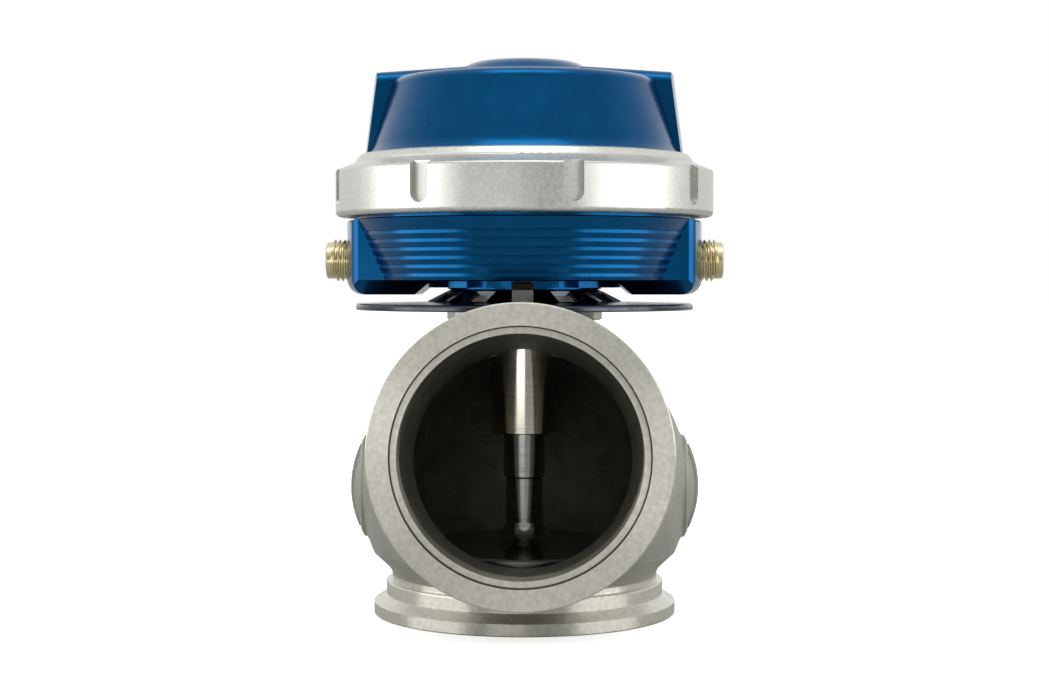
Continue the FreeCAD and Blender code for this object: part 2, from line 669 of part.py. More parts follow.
def hub():
    """Foot that stands on the shield, with open slots round its edge."""
    ring = tube(HUB_R, 0, HUB_Z + HUB_FOOT, WALL_LOW_Z + EDGE_BREAK)
    slot = Part.makeBox(
        HUB_R, HUB_SLOT_WIDTH, WALL_LOW_Z - HUB_Z,
        V(HUB_SLOT_R, -HUB_SLOT_WIDTH / 2, HUB_Z))
    ring = ring.cut(Part.Compound(around(slot, SLOT_COUNT, -90)))
    return ring.fuse(tube(HUB_FOOT_R, 0, HUB_Z, WALL_LOW_Z))


def base_cavity():
    corner_low = (CAVITY_R - EDGE_BREAK * 5, CAVITY_FLOOR_Z)
    corner_high = (CAVITY_R, CAVITY_FLOOR_Z + EDGE_BREAK * 5)
    return turned([
        (BOSS_R, CAVITY_FLOOR_Z), corner_low, arc_to(corner_low, corner_high, QUARTER),
        (CAVITY_R, RIM_TOP_Z - CAVITY_FLARE_DROP[0]),
        (CAVITY_TOP_R, RIM_TOP_Z - CAVITY_FLARE_DROP[1]),
        (CAVITY_TOP_R, RIM_TOP_Z + 1), (0, RIM_TOP_Z + 1), (0, BOSS_TOP_Z),
        (BOSS_R, BOSS_TOP_Z)])


def port_hole():
    reach = LUG_R - FITTING_X[0] + LUG_CORNER_R
    socket = Part.makeCylinder(
        FITTING_R + SEAT_GAP, reach, V(FITTING_X[0], 0, PORT_Z), X_AXIS)
    air_x = CAVITY_R - LUG_CORNER_R
    air = Part.makeCylinder(
        PORT_HOLE_R, FITTING_X[0] - air_x + 1, V(air_x, 0, PORT_Z), X_AXIS)
    return socket.fuse(air)


def actuator_base():
    rim = tube(RIM_R, 0, WALL_TOP_Z, RIM_TOP_Z)
    base = ribbed_wall().multiFuse([hub(), rim, lug(), mirrored(lug())])
    stem_hole = turned([
        (0, HUB_Z - 1), (STEM_HOLE_R, HUB_Z - 1), (STEM_HOLE_R, SEAL_LOW_Z),
        (SEAL_R + SEAT_GAP, SEAL_LOW_Z), (SEAL_R + SEAT_GAP, BOSS_TOP_Z + 1),
        (0, BOSS_TOP_Z + 1)])
    bolt_hole = tube(BOLT_R + SEAT_GAP, 0, HUB_Z - 1, BOLT_END_Z + 0.4)
    threads = ring_thread(
        RIM_R, THREAD_DEPTH, WALL_TOP_Z + RELIEF_HEIGHT + THREAD_PITCH, 3, THREAD_PITCH)
    relief = tube(LUG_R, RIM_R - RELIEF_DEPTH, WALL_TOP_Z, WALL_TOP_Z + RELIEF_HEIGHT)
    return base.cut(Part.Compound(
        [base_cavity(), stem_hole, port_hole(), mirrored(port_hole()), relief]
        + bolt_positions(bolt_hole) + threads))


def stem_seal():
    """Rubber lip seal that wipes the valve stem."""
    bore_r = STEM_R + RUN_GAP
    return turned([
        (bore_r + EDGE_BREAK, SEAL_LOW_Z), (SEAL_R, SEAL_LOW_Z), (SEAL_R, SEAL_TOP_Z),
        (bore_r, SEAL_TOP_Z), (bore_r, SEAL_LOW_Z + EDGE_BREAK)])


def seal_retainer():
    return tube(SEAL_R, STEM_HOLE_R, SEAL_TOP_Z, BOSS_TOP_Z)


def port_fitting():
    """Threaded nipple on the +X side, built on Z and laid along +X."""
    low, high = FITTING_X
    body = turned([
        (FITTING_BORE_R, low), (FITTING_R, low), (FITTING_R, high - 0.5),
        (FITTING_R - 0.5, high), (FITTING_BORE_R + 1.2, high), (FITTING_BORE_R, high - 1.6)])
    first = high - 0.9 - (FITTING_THREAD_COUNT - 1) * FITTING_PITCH
    body = body.cut(Part.Compound(ring_thread(
        FITTING_R, FITTING_DEPTH, first, FITTING_THREAD_COUNT, FITTING_PITCH)))
    body = laid_on_x(body)
    body.translate(V(0, 0, PORT_Z))
    return body


# --- diaphragm stack on the stem --------------------------------------------------------
def diaphragm():
    low = RUBBER_Z
    hole_r = STEM_THREAD_R + SEAT_GAP
    return turned([
        (hole_r, low), (PISTON_R, low), (PISTON_R + 0.9, low + 0.5),
        (BEAD_R[0] - 0.9, RIM_TOP_Z - 0.1), (BEAD_R[0], RIM_TOP_Z),
        (BEAD_R[1], RIM_TOP_Z), (BEAD_R[1], CAP_Z), (BEAD_R[0] - 1.4, CAP_Z),
        (PISTON_R, low + RUBBER + 0.5), (PISTON_R - 0.6, low + RUBBER),
        (hole_r, low + RUBBER)])


def diaphragm_retainer():
    return turned([
        (STEM_THREAD_R + SEAT_GAP, STEM_SHOULDER_Z), (RETAINER_R - 0.6, STEM_SHOULDER_Z),
        (RETAINER_R, STEM_SHOULDER_Z + 0.6), (RETAINER_R, RUBBER_Z),
        (STEM_THREAD_R + SEAT_GAP, RUBBER_Z)])


def spring_seat():
    return turned([
        (STEM_THREAD_R + SEAT_GAP, CUP_Z), (CUP_R - 1.5, CUP_Z),
        (CUP_R, CUP_Z + 1.5, CUP_R - 0.44, CUP_Z + 0.44), (CUP_R, CUP_Z + CUP_HEIGHT),
        (CUP_R - CUP_WALL, CUP_Z + CUP_HEIGHT), (CUP_R - CUP_WALL, CUP_TOP_FLOOR_Z),
        (STEM_THREAD_R + SEAT_GAP, CUP_TOP_FLOOR_Z)])


def stem_washer():
    return tube(WASHER_R, STEM_THREAD_R + SEAT_GAP, CUP_TOP_FLOOR_Z, NUT_Z)


def stem_nut():
    nut = hexagon(NUT_AF, NUT_HEIGHT, NUT_Z)
    bevel = Part.makeCone(
        NUT_AF / 2 + NUT_HEIGHT * 1.5, NUT_AF / 2 + 0.2, NUT_HEIGHT, V(0, 0, NUT_Z))
    hole = Part.makeCylinder(STEM_THREAD_R + SEAT_GAP, NUT_HEIGHT + 2, V(0, 0, NUT_Z - 1))
    return nut.common(bevel).cut(hole)


def coil_spring(mean_r, wire_r, active):
    """Compression spring with one closed coil at each end, from cup to cap roof."""
    low = CUP_TOP_FLOOR_Z + wire_r
    high = CAP_ROOF_Z - wire_r
    closed_rise = 2 * wire_r + 0.15
    rise = high - low - 2 * closed_rise
    turns = active + 2
    steps = int(turns * 24)
    points = []
    for index in range(steps + 1):
        turn = turns * index / steps
        if turn < 1:
            z = low + closed_rise * turn
        elif turn > turns - 1:
            z = high - closed_rise * (turns - turn)
        else:
            z = low + closed_rise + rise * (turn - 1) / active
        angle = 2 * math.pi * turn
        points.append(V(mean_r * math.cos(angle), mean_r * math.sin(angle), z))
    curve = Part.BSplineCurve()
    curve.interpolate(points)
    path = Part.Wire([curve.toShape()])
    section = Part.Wire([Part.Circle(points[0], curve.tangent(0)[0], wire_r).toShape()])
    return Part.Wire(path).makePipeShell([section], True, True)


# --- cap and collar ---------------------------------------------------------------------
def cap_arms():
    """Two port arms across the crown, rounded along the top, ends on a cone."""
    x_out = CAP_NECK_R + ARM_DRAFT
    inner_z = ARM_END_Z + ARM_RISE
    bar = prism_y([
        (-x_out, ARM_BOTTOM_Z), (x_out, ARM_BOTTOM_Z), (x_out, ARM_END_Z - 0.2),
        (ARM_INNER_X, inner_z), (-ARM_INNER_X, inner_z), (-x_out, ARM_END_Z - 0.2)],
        ARM_HALF_WIDTH)
    top_edges = [e for e in bar.Edges
                 if e.BoundBox.ZMin > ARM_END_Z - 1 and e.BoundBox.YLength < 0.01]
    bar = bar.makeFillet(ARM_ROUND, top_edges)
    end_low = (ARM_TOP_R, ARM_END_Z - 0.8)
    end_high = (ARM_TOP_R - 0.9, ARM_END_Z + 0.3)
    cone = turned([
        (0, ARM_BOTTOM_Z), (CAP_NECK_R, ARM_BOTTOM_Z), end_low,
        arc_to(end_low, end_high, QUARTER),
        (ARM_TOP_R - 2 * ARM_DRAFT, inner_z + ARM_RISE), (0, inner_z + ARM_RISE)])
    return bar.common(cone)


def cap_skin():
    neck = (CAP_NECK_R, CAP_NECK_Z)
    shoulder = (CAP_SHOULDER_R, CAP_SHOULDER_Z)
    ring = (CAP_BOSS_R + CAP_BOSS_BLEND, CAP_CROWN_Z + CAP_BOSS_RISES[0])
    brow = (CAP_BOSS_R, ring[1] + CAP_BOSS_RISES[1])
    side = ((ring[0] + brow[0]) / 2, (ring[1] + brow[1]) / 2)
    top = (CAP_BOSS_TIP_R, brow[1] + CAP_BOSS_RISES[2])
    turn = CAP_BOSS_TURN[0]
    return turned([
        (0, CAP_Z), (RIM_R, CAP_Z), (RIM_R, CAP_FLANGE_TOP_Z),
        (CAP_NECK_R, CAP_FLANGE_TOP_Z), neck, arc_to(neck, (CAP_FLARE_R, CAP_FLARE_Z), -0.06),
        shoulder, arc_to(shoulder, (CAP_CROWN_R, CAP_CROWN_Z), QUARTER), ring,
        arc_to(ring, side, -turn), arc_to(side, brow, turn),
        arc_to(brow, top, CAP_BOSS_TURN[1]), (0, top[1])])


def plug_hole():
    """Threaded hole from the arm's end inwards, with an air drilling to the spring side."""
    low = ARM_TOP_R - PLUG_RECESS - PLUG_LENGTH
    hole = Part.makeCylinder(
        PLUG_R + SEAT_GAP, CAP_NECK_R - low + 1, V(low, 0, PLUG_Z), X_AXIS)
    air = Part.makeCylinder(PORT_HOLE_R, 2 * CAP_WALL, V(low - 2 * CAP_WALL, 0, PLUG_Z), X_AXIS)
    return hole.fuse(air)


def actuator_cap():
    cap = cap_skin().fuse(cap_arms())
    mouth_r = BEAD_R[0] - 1.0
    corner_low = (CAP_SHOULDER_R - CAP_WALL, CAP_ROOF_Z - EDGE_BREAK * 8)
    corner_high = (corner_low[0] - EDGE_BREAK * 8, CAP_ROOF_Z)
    cavity = turned([
        (0, CAP_Z - 1), (mouth_r, CAP_Z - 1), (mouth_r, CAP_Z),
        (CAP_NECK_R - CAP_WALL, CAP_FLANGE_TOP_Z),
        (CAP_FLARE_R - CAP_WALL - 1.2, CAP_FLARE_Z + 1), corner_low,
        arc_to(corner_low, corner_high, QUARTER), (0, CAP_ROOF_Z)])
    return cap.cut(Part.Compound([cavity, plug_hole(), mirrored(plug_hole())]))


def arm_plug():
    """Blanking screw in the +X arm, with a hexagon socket."""
    high = ARM_TOP_R - PLUG_RECESS
    low = high - PLUG_LENGTH
    body = turned([
        (0, low), (PLUG_R - EDGE_BREAK, low), (PLUG_R, low + EDGE_BREAK),
        (PLUG_R, high - EDGE_BREAK), (PLUG_R - EDGE_BREAK, high), (0, high)])
    socket = hexagon(PLUG_SOCKET_AF, PLUG_SOCKET_DEPTH + 1, high - PLUG_SOCKET_DEPTH)
    body = laid_on_x(body.cut(socket))
    body.translate(V(0, 0, PLUG_Z))
    return body


def thrust_ring():
    return tube(RIM_R, COLLAR_LIP_R, THRUST_Z, LIP_Z)


def collar_slot():
    """One U-shaped spanner slot at the angle of the -Y axis, open at the top."""
    half = COLLAR_SLOT_WIDTH / 2
    low_left = (-half, COLLAR_SLOT_Z + half)
    low_middle = (0, COLLAR_SLOT_Z)
    low_right = (half, COLLAR_SLOT_Z + half)
    outline = face_xz([
        (-half, COLLAR_TOP_Z + 1), low_left, arc_to(low_left, low_middle, QUARTER),
        arc_to(low_middle, low_right, QUARTER), (half, COLLAR_TOP_Z + 1)])
    cutter = outline.extrude(V(0, -COLLAR_R - 2, 0))
    return cutter.cut(tube(
        COLLAR_R - COLLAR_SLOT_DEPTH, 0, COLLAR_BOTTOM_Z, COLLAR_TOP_Z + 2))


def locking_collar():
    foot_in = (COLLAR_R - COLLAR_FOOT_ROUND, COLLAR_BOTTOM_Z)
    foot_out = (COLLAR_R, COLLAR_BOTTOM_Z + COLLAR_FOOT_ROUND)
    edge_low = (COLLAR_R, COLLAR_WALL_TOP_Z - COLLAR_TOP_ROUND)
    edge_high = (COLLAR_R - COLLAR_TOP_ROUND, COLLAR_WALL_TOP_Z - 0.1)
    bevel = (COLLAR_BEVEL_R + 0.4, COLLAR_BEVEL_Z - 0.1)
    bead = (COLLAR_BEVEL_R - 0.1, COLLAR_BEVEL_Z + 0.4)
    ring = turned([
        (COLLAR_BORE_R + 0.5, COLLAR_BOTTOM_Z), foot_in, arc_to(foot_in, foot_out, QUARTER),
        edge_low, arc_to(edge_low, edge_high, QUARTER), bevel,
        arc_to(bevel, bead, -QUARTER),
        (COLLAR_LIP_R + 1.2, COLLAR_TOP_Z - 0.3), (COLLAR_LIP_R + 0.6, COLLAR_TOP_Z),
        (COLLAR_LIP_R, COLLAR_TOP_Z - 0.4), (COLLAR_LIP_R, LIP_Z), (COLLAR_BORE_R, LIP_Z),
        (COLLAR_BORE_R, COLLAR_BOTTOM_Z + 0.5)])
    slots = around(collar_slot(), COLLAR_SLOT_COUNT, COLLAR_SLOT_ANGLE)
    threads = ring_thread(
        COLLAR_BORE_R, -THREAD_DEPTH, COLLAR_BOTTOM_Z + THREAD_PITCH, 3, THREAD_PITCH)
    return ring.cut(Part.Compound(slots + threads))


def save(name, shape):
    shape.exportStep("parts/%s.step" % name)
    print(name, len(shape.Solids), shape.isValid(), round(shape.Volume / 1000, 2))


def main():
    os.makedirs("parts", exist_ok=True)
    save("valve_body", valve_body())
    save("valve_seat", valve_seat())
    save("poppet_valve", poppet_valve())
    save("valve_guide", valve_guide())
    save("body_bolts", body_bolts())
    save("shield_gasket", shield_gasket())
    save("heat_shield", heat_shield())
    save("actuator_base", actuator_base())
    save("stem_seal", stem_seal())
    save("seal_retainer", seal_retainer())
    save("port_fitting_right", port_fitting())
    save("port_fitting_left", mirrored(port_fitting()))
    save("diaphragm", diaphragm())
    save("diaphragm_retainer", diaphragm_retainer())
    save("spring_seat", spring_seat())
    save("stem_washer", stem_washer())
    save("stem_nut", stem_nut())
    save("outer_spring", coil_spring(*OUTER_SPRING))
    save("middle_spring", coil_spring(*MIDDLE_SPRING))
    save("inner_spring", coil_spring(*INNER_SPRING))
    save("actuator_cap", actuator_cap())
    save("arm_plug_right", arm_plug())
    save("arm_plug_left", mirrored(arm_plug()))
    save("thrust_ring", thrust_ring())
    save("locking_collar", locking_collar())


main()
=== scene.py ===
# %% [markdown]
# # An external wastegate for a turbocharged engine
# A wastegate lets exhaust gas past the turbine. Gas comes up through the flange at the
# bottom, lifts a poppet valve against springs, and leaves through the big outlet at the
# front. The blue housing on top holds the springs and a rubber diaphragm. The finished
# frame of solids is loaded first, because every piece below is placed from it.

# %% Load the frame
import math
import bmesh
import bpy
from mathutils import Matrix, Vector


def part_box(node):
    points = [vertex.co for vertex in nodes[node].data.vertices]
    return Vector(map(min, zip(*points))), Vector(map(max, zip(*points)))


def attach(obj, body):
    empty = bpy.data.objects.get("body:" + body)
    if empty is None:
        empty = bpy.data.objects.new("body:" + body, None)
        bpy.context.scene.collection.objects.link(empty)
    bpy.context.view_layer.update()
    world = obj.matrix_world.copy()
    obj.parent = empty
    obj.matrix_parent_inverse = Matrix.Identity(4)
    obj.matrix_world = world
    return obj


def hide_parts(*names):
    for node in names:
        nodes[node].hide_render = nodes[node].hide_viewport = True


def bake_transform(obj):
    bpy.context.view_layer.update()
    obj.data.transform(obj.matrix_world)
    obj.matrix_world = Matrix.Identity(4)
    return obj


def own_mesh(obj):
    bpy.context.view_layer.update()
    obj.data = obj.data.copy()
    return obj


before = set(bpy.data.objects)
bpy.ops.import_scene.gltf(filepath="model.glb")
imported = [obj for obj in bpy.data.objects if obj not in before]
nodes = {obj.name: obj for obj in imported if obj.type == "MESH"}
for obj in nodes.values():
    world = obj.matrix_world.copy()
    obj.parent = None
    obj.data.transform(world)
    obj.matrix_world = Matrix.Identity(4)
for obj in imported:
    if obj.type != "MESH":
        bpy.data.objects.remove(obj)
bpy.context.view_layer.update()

# %% [markdown]
# ## Units and colours
# Blender works in metres and in linear light, while a maker's drawing is in millimetres and
# a paint chart is in sRGB hex. Two tiny helpers do the translation, so that every number
# below can be read as a drawing or a chart would give it.

# %% Millimetres and hex colours
MM = 0.001


def linear(code):
    """An sRGB hex colour as linear red, green, blue and alpha."""
    channels = [int(code[place:place + 2], 16) / 255 for place in (1, 3, 5)]
    return [c / 12.92 if c <= 0.04045 else ((c + 0.055) / 1.055) ** 2.4
            for c in channels] + [1.0]


def per_mm(size):
    """The scale at which one cell of a pattern is size millimetres wide."""
    return 1 / (size * MM)


print("mid grey:", [round(channel, 3) for channel in linear("#808080")])

# %% [markdown]
# ## The camera
# The product is shown straight on, from just above the outlet and a touch to the right of
# its middle. A longer lens from half a metre keeps the round parts from bulging. The camera
# is aimed by two small angles rather than a constraint, so that nothing moves it later.

# %% Place the camera
bpy.context.scene.view_settings.view_transform = "Standard"
tilt_down = 2.134
pan_left = 1.157
camera = bpy.data.objects.new("camera", bpy.data.cameras.new("camera"))
camera.data.lens = 66.3
camera.data.sensor_width = 36
camera.location = (0.0104, -0.5149, 0.0889)
camera.rotation_euler = (math.radians(90 - tilt_down), 0, math.radians(pan_left))
bpy.context.scene.collection.objects.link(camera)
bpy.context.scene.camera = camera
print("camera distance:", round(camera.location.length, 3))

# %% [markdown]
# ## The floor
# A plain pale floor catches the soft shadow under the flange. It is one wide square.

# %% Lay the floor
floor_mesh = bmesh.new()
bmesh.ops.create_grid(floor_mesh, x_segments=1, y_segments=1, size=6)
floor_data = bpy.data.meshes.new("floor")
floor_mesh.to_mesh(floor_data)
floor_mesh.free()
floor = bpy.data.objects.new("floor", floor_data)
bpy.context.scene.collection.objects.link(floor)
print("floor width:", floor.dimensions.x)

# %% [markdown]
# ## One function for shader nodes
# A material is a small graph. This function adds one node with its settings, and either
# links each input to another node's output or types a value in. Everything that follows is
# built with it, which keeps each finish short enough to read as a recipe. A noise pattern
# mostly stays between 0.3 and 0.7, so that stretch is what gets spread over the values
# that a finish asks for.

# %% Add a node, and start a finish
noise_low = 0.3
noise_high = 0.7


def add(tree, kind, inputs=None, **settings):
    """A new node; each input is another node's output, or a value for that socket."""
    made = tree.nodes.new(kind)
    for name, value in settings.items():
        setattr(made, name, value)
    for socket, value in (inputs or {}).items():
        if isinstance(value, bpy.types.NodeSocket):
            tree.links.new(value, made.inputs[socket])
        else:
            made.inputs[socket].default_value = value
    return made


def start_finish(name, **sockets):
    """A named material with its shader's sockets set; gives it, its tree and coordinates."""
    material = bpy.data.materials.new(name)
    material.use_nodes = True
    tree = material.node_tree
    shader = tree.nodes["Principled BSDF"]
    for socket, value in sockets.items():
        shader.inputs[socket.replace("_", " ")].default_value = value
    place = add(tree, "ShaderNodeTexCoord").outputs["Object"]
    return material, tree, shader, place


def cells(tree, place, size, stretch=(1, 1, 1), detail=2.0):
    """Soft random spots, size millimetres across, stretched along the axes given."""
    scale = [per_mm(size) / s for s in stretch]
    mapped = add(tree, "ShaderNodeMapping", {"Vector": place, "Scale": scale})
    return add(tree, "ShaderNodeTexNoise", {
        "Vector": mapped.outputs[0], "Scale": 1.0, "Detail": detail}).outputs["Fac"]


def spread(tree, value, low, high):
    """A pattern's usual range turned into low to high."""
    return add(tree, "ShaderNodeMapRange", {
        "Value": value, "From Min": noise_low, "From Max": noise_high, "To Min": low,
        "To Max": high}).outputs[0]


def shades(tree, value, dark, light):
    """A colour between two hex colours, chosen by a pattern."""
    ramp = add(tree, "ShaderNodeValToRGB", {"Fac": value})
    ends = ramp.color_ramp.elements
    ends[0].position = noise_low
    ends[0].color = linear(dark)
    ends[1].position = noise_high
    ends[1].color = linear(light)
    return ramp.outputs["Color"]


def relief(tree, shader, height, depth, under=None):
    """Bump of a real depth in millimetres, on top of another relief if there is one."""
    inputs = {"Height": height, "Distance": depth * MM, "Strength": 1.0}
    if under is not None:
        inputs["Normal"] = under
    made = add(tree, "ShaderNodeBump", inputs).outputs[0]
    tree.links.new(made, shader.inputs["Normal"])
    return made


def vectors(tree, operation, first, second):
    """Two directions or places put together by one vector operation."""
    return add(tree, "ShaderNodeVectorMath", {0: first, 1: second},
               operation=operation).outputs[0]


def radius_about(tree, place, keep, centre=(0, 0, 0)):
    """Distance in metres from an axis: keep is 1 for the two directions that count."""
    flat = vectors(tree, "MULTIPLY", vectors(tree, "SUBTRACT", place, centre), keep)
    return add(tree, "ShaderNodeVectorMath", {0: flat}, operation="LENGTH").outputs["Value"]


def ring_marks(tree, radius, pitch):
    """Concentric tool marks, pitch millimetres apart, from a distance to the axis."""
    turn = add(tree, "ShaderNodeMath", {0: radius, 1: per_mm(pitch)},
               operation="MULTIPLY").outputs[0]
    return add(tree, "ShaderNodeTexNoise", {"W": turn, "Scale": 1.0, "Detail": 2.0},
               noise_dimensions="1D").outputs["Fac"]


def choose(tree, factor, first, second, kind="RGBA"):
    """first where factor is 0 and second where it is 1; colours, directions or numbers."""
    slots = {"RGBA": (0, 6, 7, 2), "FLOAT": (0, 2, 3, 0), "VECTOR": (0, 4, 5, 1)}[kind]
    made = add(tree, "ShaderNodeMix", {
        slots[0]: factor, slots[1]: first, slots[2]: second}, data_type=kind)
    return made.outputs[slots[3]]


def above(tree, value, edge):
    """1 where a number is over an edge given in millimetres, else 0."""
    return add(tree, "ShaderNodeMath", {0: value, 1: edge * MM},
               operation="GREATER_THAN").outputs[0]


def inverse(tree, mask):
    """0 where a mask is 1, and 1 where it is 0."""
    return choose(tree, mask, 1.0, 0.0, "FLOAT")


def below(tree, value, edge):
    """1 where a number is up to an edge given in millimetres, else 0."""
    return inverse(tree, above(tree, value, edge))


def times(tree, first, second):
    """The product of two numbers; two masks leave the zone that both cover."""
    return add(tree, "ShaderNodeMath", {0: first, 1: second}, operation="MULTIPLY").outputs[0]


def either(tree, first, second):
    """The larger of two numbers; two masks leave every zone that one of them covers."""
    return add(tree, "ShaderNodeMath", {0: first, 1: second}, operation="MAXIMUM").outputs[0]


print("node helpers ready")

# %% [markdown]
# ## Blue anodised aluminium
# The cap and the base are turned from aluminium bar, blasted lightly and anodised blue.
# The oxide layer is clear and dyed, so the metal shines through it in blue while the
# layer's own surface gives pale, colourless reflections at a slant. A metallic shader with
# a thin clear coat does both. Faint turning lines follow the axis.

# %% Blue anodised finish
blue, tree, shader, place = start_finish(
    "blue_anodised_aluminium", Metallic=1.0, Coat_Weight=1.0, Coat_Roughness=0.16,
    Coat_IOR=1.14)
mottle = cells(tree, place, 9.0, detail=3.0)
tree.links.new(shades(tree, mottle, "#014A79", "#025283"), shader.inputs["Base Color"])
lines = cells(tree, place, 0.35, stretch=(60, 60, 1), detail=3.0)
blasted = cells(tree, place, 0.25, detail=2.0)
tree.links.new(spread(tree, blasted, 0.24, 0.31), shader.inputs["Roughness"])
relief(tree, shader, blasted, 0.0008, under=relief(tree, shader, lines, 0.0004))
print(blue.name, len(tree.nodes), "nodes")

# %% [markdown]
# ## Clear anodised aluminium
# The locking collar is the same aluminium without dye: a warm light grey. Its wall is
# finely mottled, and the floors of its spanner slots are rough from the end mill, with
# darker specks. The slots are found by their distance from the axis, in the collar only.

# %% Clear anodised finish
slot_floor_low_r = 47.6
slot_floor_high_r = 49.3
slot_floor_top_z = 117.2
clear, tree, shader, place = start_finish("clear_anodised_aluminium", Metallic=1.0)
mottle = cells(tree, place, 0.9, detail=4.0)
wall_colour = shades(tree, mottle, "#C9CBC5", "#DADBD4")
milled = cells(tree, place, 0.45, detail=2.0)
floor_colour = shades(tree, milled, "#C0C2BC", "#DADCD6")
radius = radius_about(tree, place, (1, 1, 0))
height = add(tree, "ShaderNodeSeparateXYZ", {0: place}).outputs["Z"]
at_floor = times(tree, above(tree, radius, slot_floor_low_r),
                 below(tree, radius, slot_floor_high_r))
sunk = times(tree, at_floor, below(tree, height, slot_floor_top_z))
tree.links.new(choose(tree, sunk, wall_colour, floor_colour), shader.inputs["Base Color"])
tree.links.new(choose(tree, sunk, spread(tree, mottle, 0.33, 0.43),
                      spread(tree, milled, 0.42, 0.6), "FLOAT"),
               shader.inputs["Roughness"])
lines = cells(tree, place, 0.3, stretch=(50, 50, 1), detail=3.0)
fine = relief(tree, shader, lines, 0.003)
relief(tree, shader, times(tree, milled, sunk), 0.02, under=fine)
print(clear.name, len(tree.nodes), "nodes")

# %% [markdown]
# ## Cast stainless steel
# The body is an investment casting, bead blasted to a soft grey grain. Its two flanges are
# machined after casting, so they are lighter and carry fine concentric tool marks, which
# smear a reflection across themselves: a flange face then shows bright fans left and
# right, and a rim shows upright bands. The tangent runs round each flange's own axis and
# the highlight is turned a quarter from it. On the blasted grain the tangent is random, so
# the smear goes every way. Inside, the passages get a painted shade. The zones are found by
# their place on the casting: heights, radii and depths in millimetres from the drawing.

# %% Where the casting's zones lie
outlet_z = 45.6
outlet_flange_y = 43.3
inlet_flange_z = 10.4
chamber_z = 33.5
chamber_r = 39.5
passage_r = 30.9
passage_ends_y = (4.0, 50.9)
# The register's radii and depths also place its painted shadow.
register_r = (31.5, 31.98)
register_ends_y = (50.5, 51.9)
# Height above which the tang's top gets its painted shadow.
tang_painted_shadow_z = 85.8
print("zones of the casting named")

# %% [markdown]
# A mask is 1 inside its zone and 0 outside. The first masks tell the two machined flanges
# from the blasted casting, and give each flange the tool marks about its own axis.

# %% Grain, flanges and tool marks
cast, tree, shader, place = start_finish(
    "bead_blasted_cast_stainless", Metallic=1.0, Anisotropic=0.9, Anisotropic_Rotation=0.25)
grit = cells(tree, place, 0.5, detail=4.0)
cloud = cells(tree, place, 12.0, detail=3.0)
cast_colour = choose(tree, 0.5, shades(tree, grit, "#9E9D94", "#C3C2B9"),
                     shades(tree, cloud, "#A5A49B", "#BAB9B0"))
axes = add(tree, "ShaderNodeSeparateXYZ", {0: place}).outputs
inlet_r = radius_about(tree, place, (1, 1, 0))
outlet_r = radius_about(tree, place, (1, 0, 1), (0, 0, outlet_z * MM))
front = times(tree, axes["Y"], -1.0)
on_outlet = above(tree, front, outlet_flange_y)
turned = either(tree, on_outlet, below(tree, axes["Z"], inlet_flange_z))
marks = choose(tree, on_outlet, ring_marks(tree, inlet_r, 0.25),
               ring_marks(tree, outlet_r, 0.25), "FLOAT")
print("flange masks ready")

# %% [markdown]
# The colour is machined or blasted outside, with painted shade inside the chamber and the
# passage, a darker painted shadow in the register's corner, and a near-black painted shadow on
# the tang's top.

# %% Colours of the casting
machined_colour = shades(tree, cells(tree, place, 1.2, detail=4.0), "#C9C7BC", "#DEDCD1")
surface = choose(tree, turned, cast_colour, machined_colour)
centre_r = radius_about(tree, place, (1, 1, 1), (0, 0, chamber_z * MM))
along_passage = times(tree, above(tree, front, passage_ends_y[0]),
                      below(tree, front, passage_ends_y[1]))
in_passage = times(tree, below(tree, outlet_r, passage_r), along_passage)
inside = either(tree, below(tree, centre_r, chamber_r), in_passage)
# Painted shade: the inside of the chamber and the passage is coloured darker than the outside.
painted_shade_inside = shades(tree, cells(tree, place, 6.0, detail=4.0), "#77746B", "#8D8A80")
# Painted shadow: a dark line in the outer corner of the outlet's register.
in_register = times(tree, above(tree, outlet_r, register_r[0]),
                    below(tree, outlet_r, register_r[1]))
along_register = times(tree, above(tree, front, register_ends_y[0]),
                       below(tree, front, register_ends_y[1]))
register_painted_shadow = times(tree, in_register, along_register)
bare = choose(tree, register_painted_shadow, choose(tree, inside, surface, painted_shade_inside), linear("#5C594F"))
# Painted shadow: the tang's top, under the base, is coloured nearly black.
tang_painted_shadow = above(tree, axes["Z"], tang_painted_shadow_z)
tree.links.new(choose(tree, tang_painted_shadow, bare, linear("#3E382E")), shader.inputs["Base Color"])
print("casting coloured")

# %% [markdown]
# Last come the roughness, the direction in which the metal smears its reflections, and the
# relief: fine tool marks on the flanges, and the blasted grain everywhere else.

# %% Roughness, direction and relief of the casting
faced = choose(tree, on_outlet, spread(tree, marks, 0.28, 0.36),
               spread(tree, marks, 0.36, 0.48), "FLOAT")
rough = choose(tree, turned, spread(tree, grit, 0.42, 0.58), faced, "FLOAT")
tree.links.new(choose(tree, inside, rough, 0.5, "FLOAT"), shader.inputs["Roughness"])
from_outlet = vectors(tree, "SUBTRACT", place, (0, 0, outlet_z * MM))
round_inlet = vectors(tree, "CROSS_PRODUCT", (0, 0, 1), place)
round_outlet = vectors(tree, "CROSS_PRODUCT", (0, 1, 0), from_outlet)
random_place = add(tree, "ShaderNodeTexNoise", {"Vector": place, "Scale": per_mm(0.3)})
every_way = vectors(tree, "SUBTRACT", random_place.outputs["Color"], (0.5, 0.5, 0.5))
along = choose(tree, on_outlet, round_inlet, round_outlet, "VECTOR")
tree.links.new(choose(tree, turned, every_way, along, "VECTOR"), shader.inputs["Tangent"])
tooled = relief(tree, shader, times(tree, marks, turned), 0.006)
relief(tree, shader, times(tree, grit, inverse(tree, turned)), 0.15, under=tooled)
print(cast.name, len(tree.nodes), "nodes")

# %% [markdown]
# ## Turned and ground steels
# The valve is one piece of heat-resisting steel: turned under its head, ground where it
# slides. The guide is dark bronze with a polished outside, the seat is a hard ring, and the
# screws are bright stainless. They share one recipe, a metal with lines round the axis, so
# one function makes them from a colour, a roughness and the pitch of the lines.

# %% Steels, bronze and plain aluminium


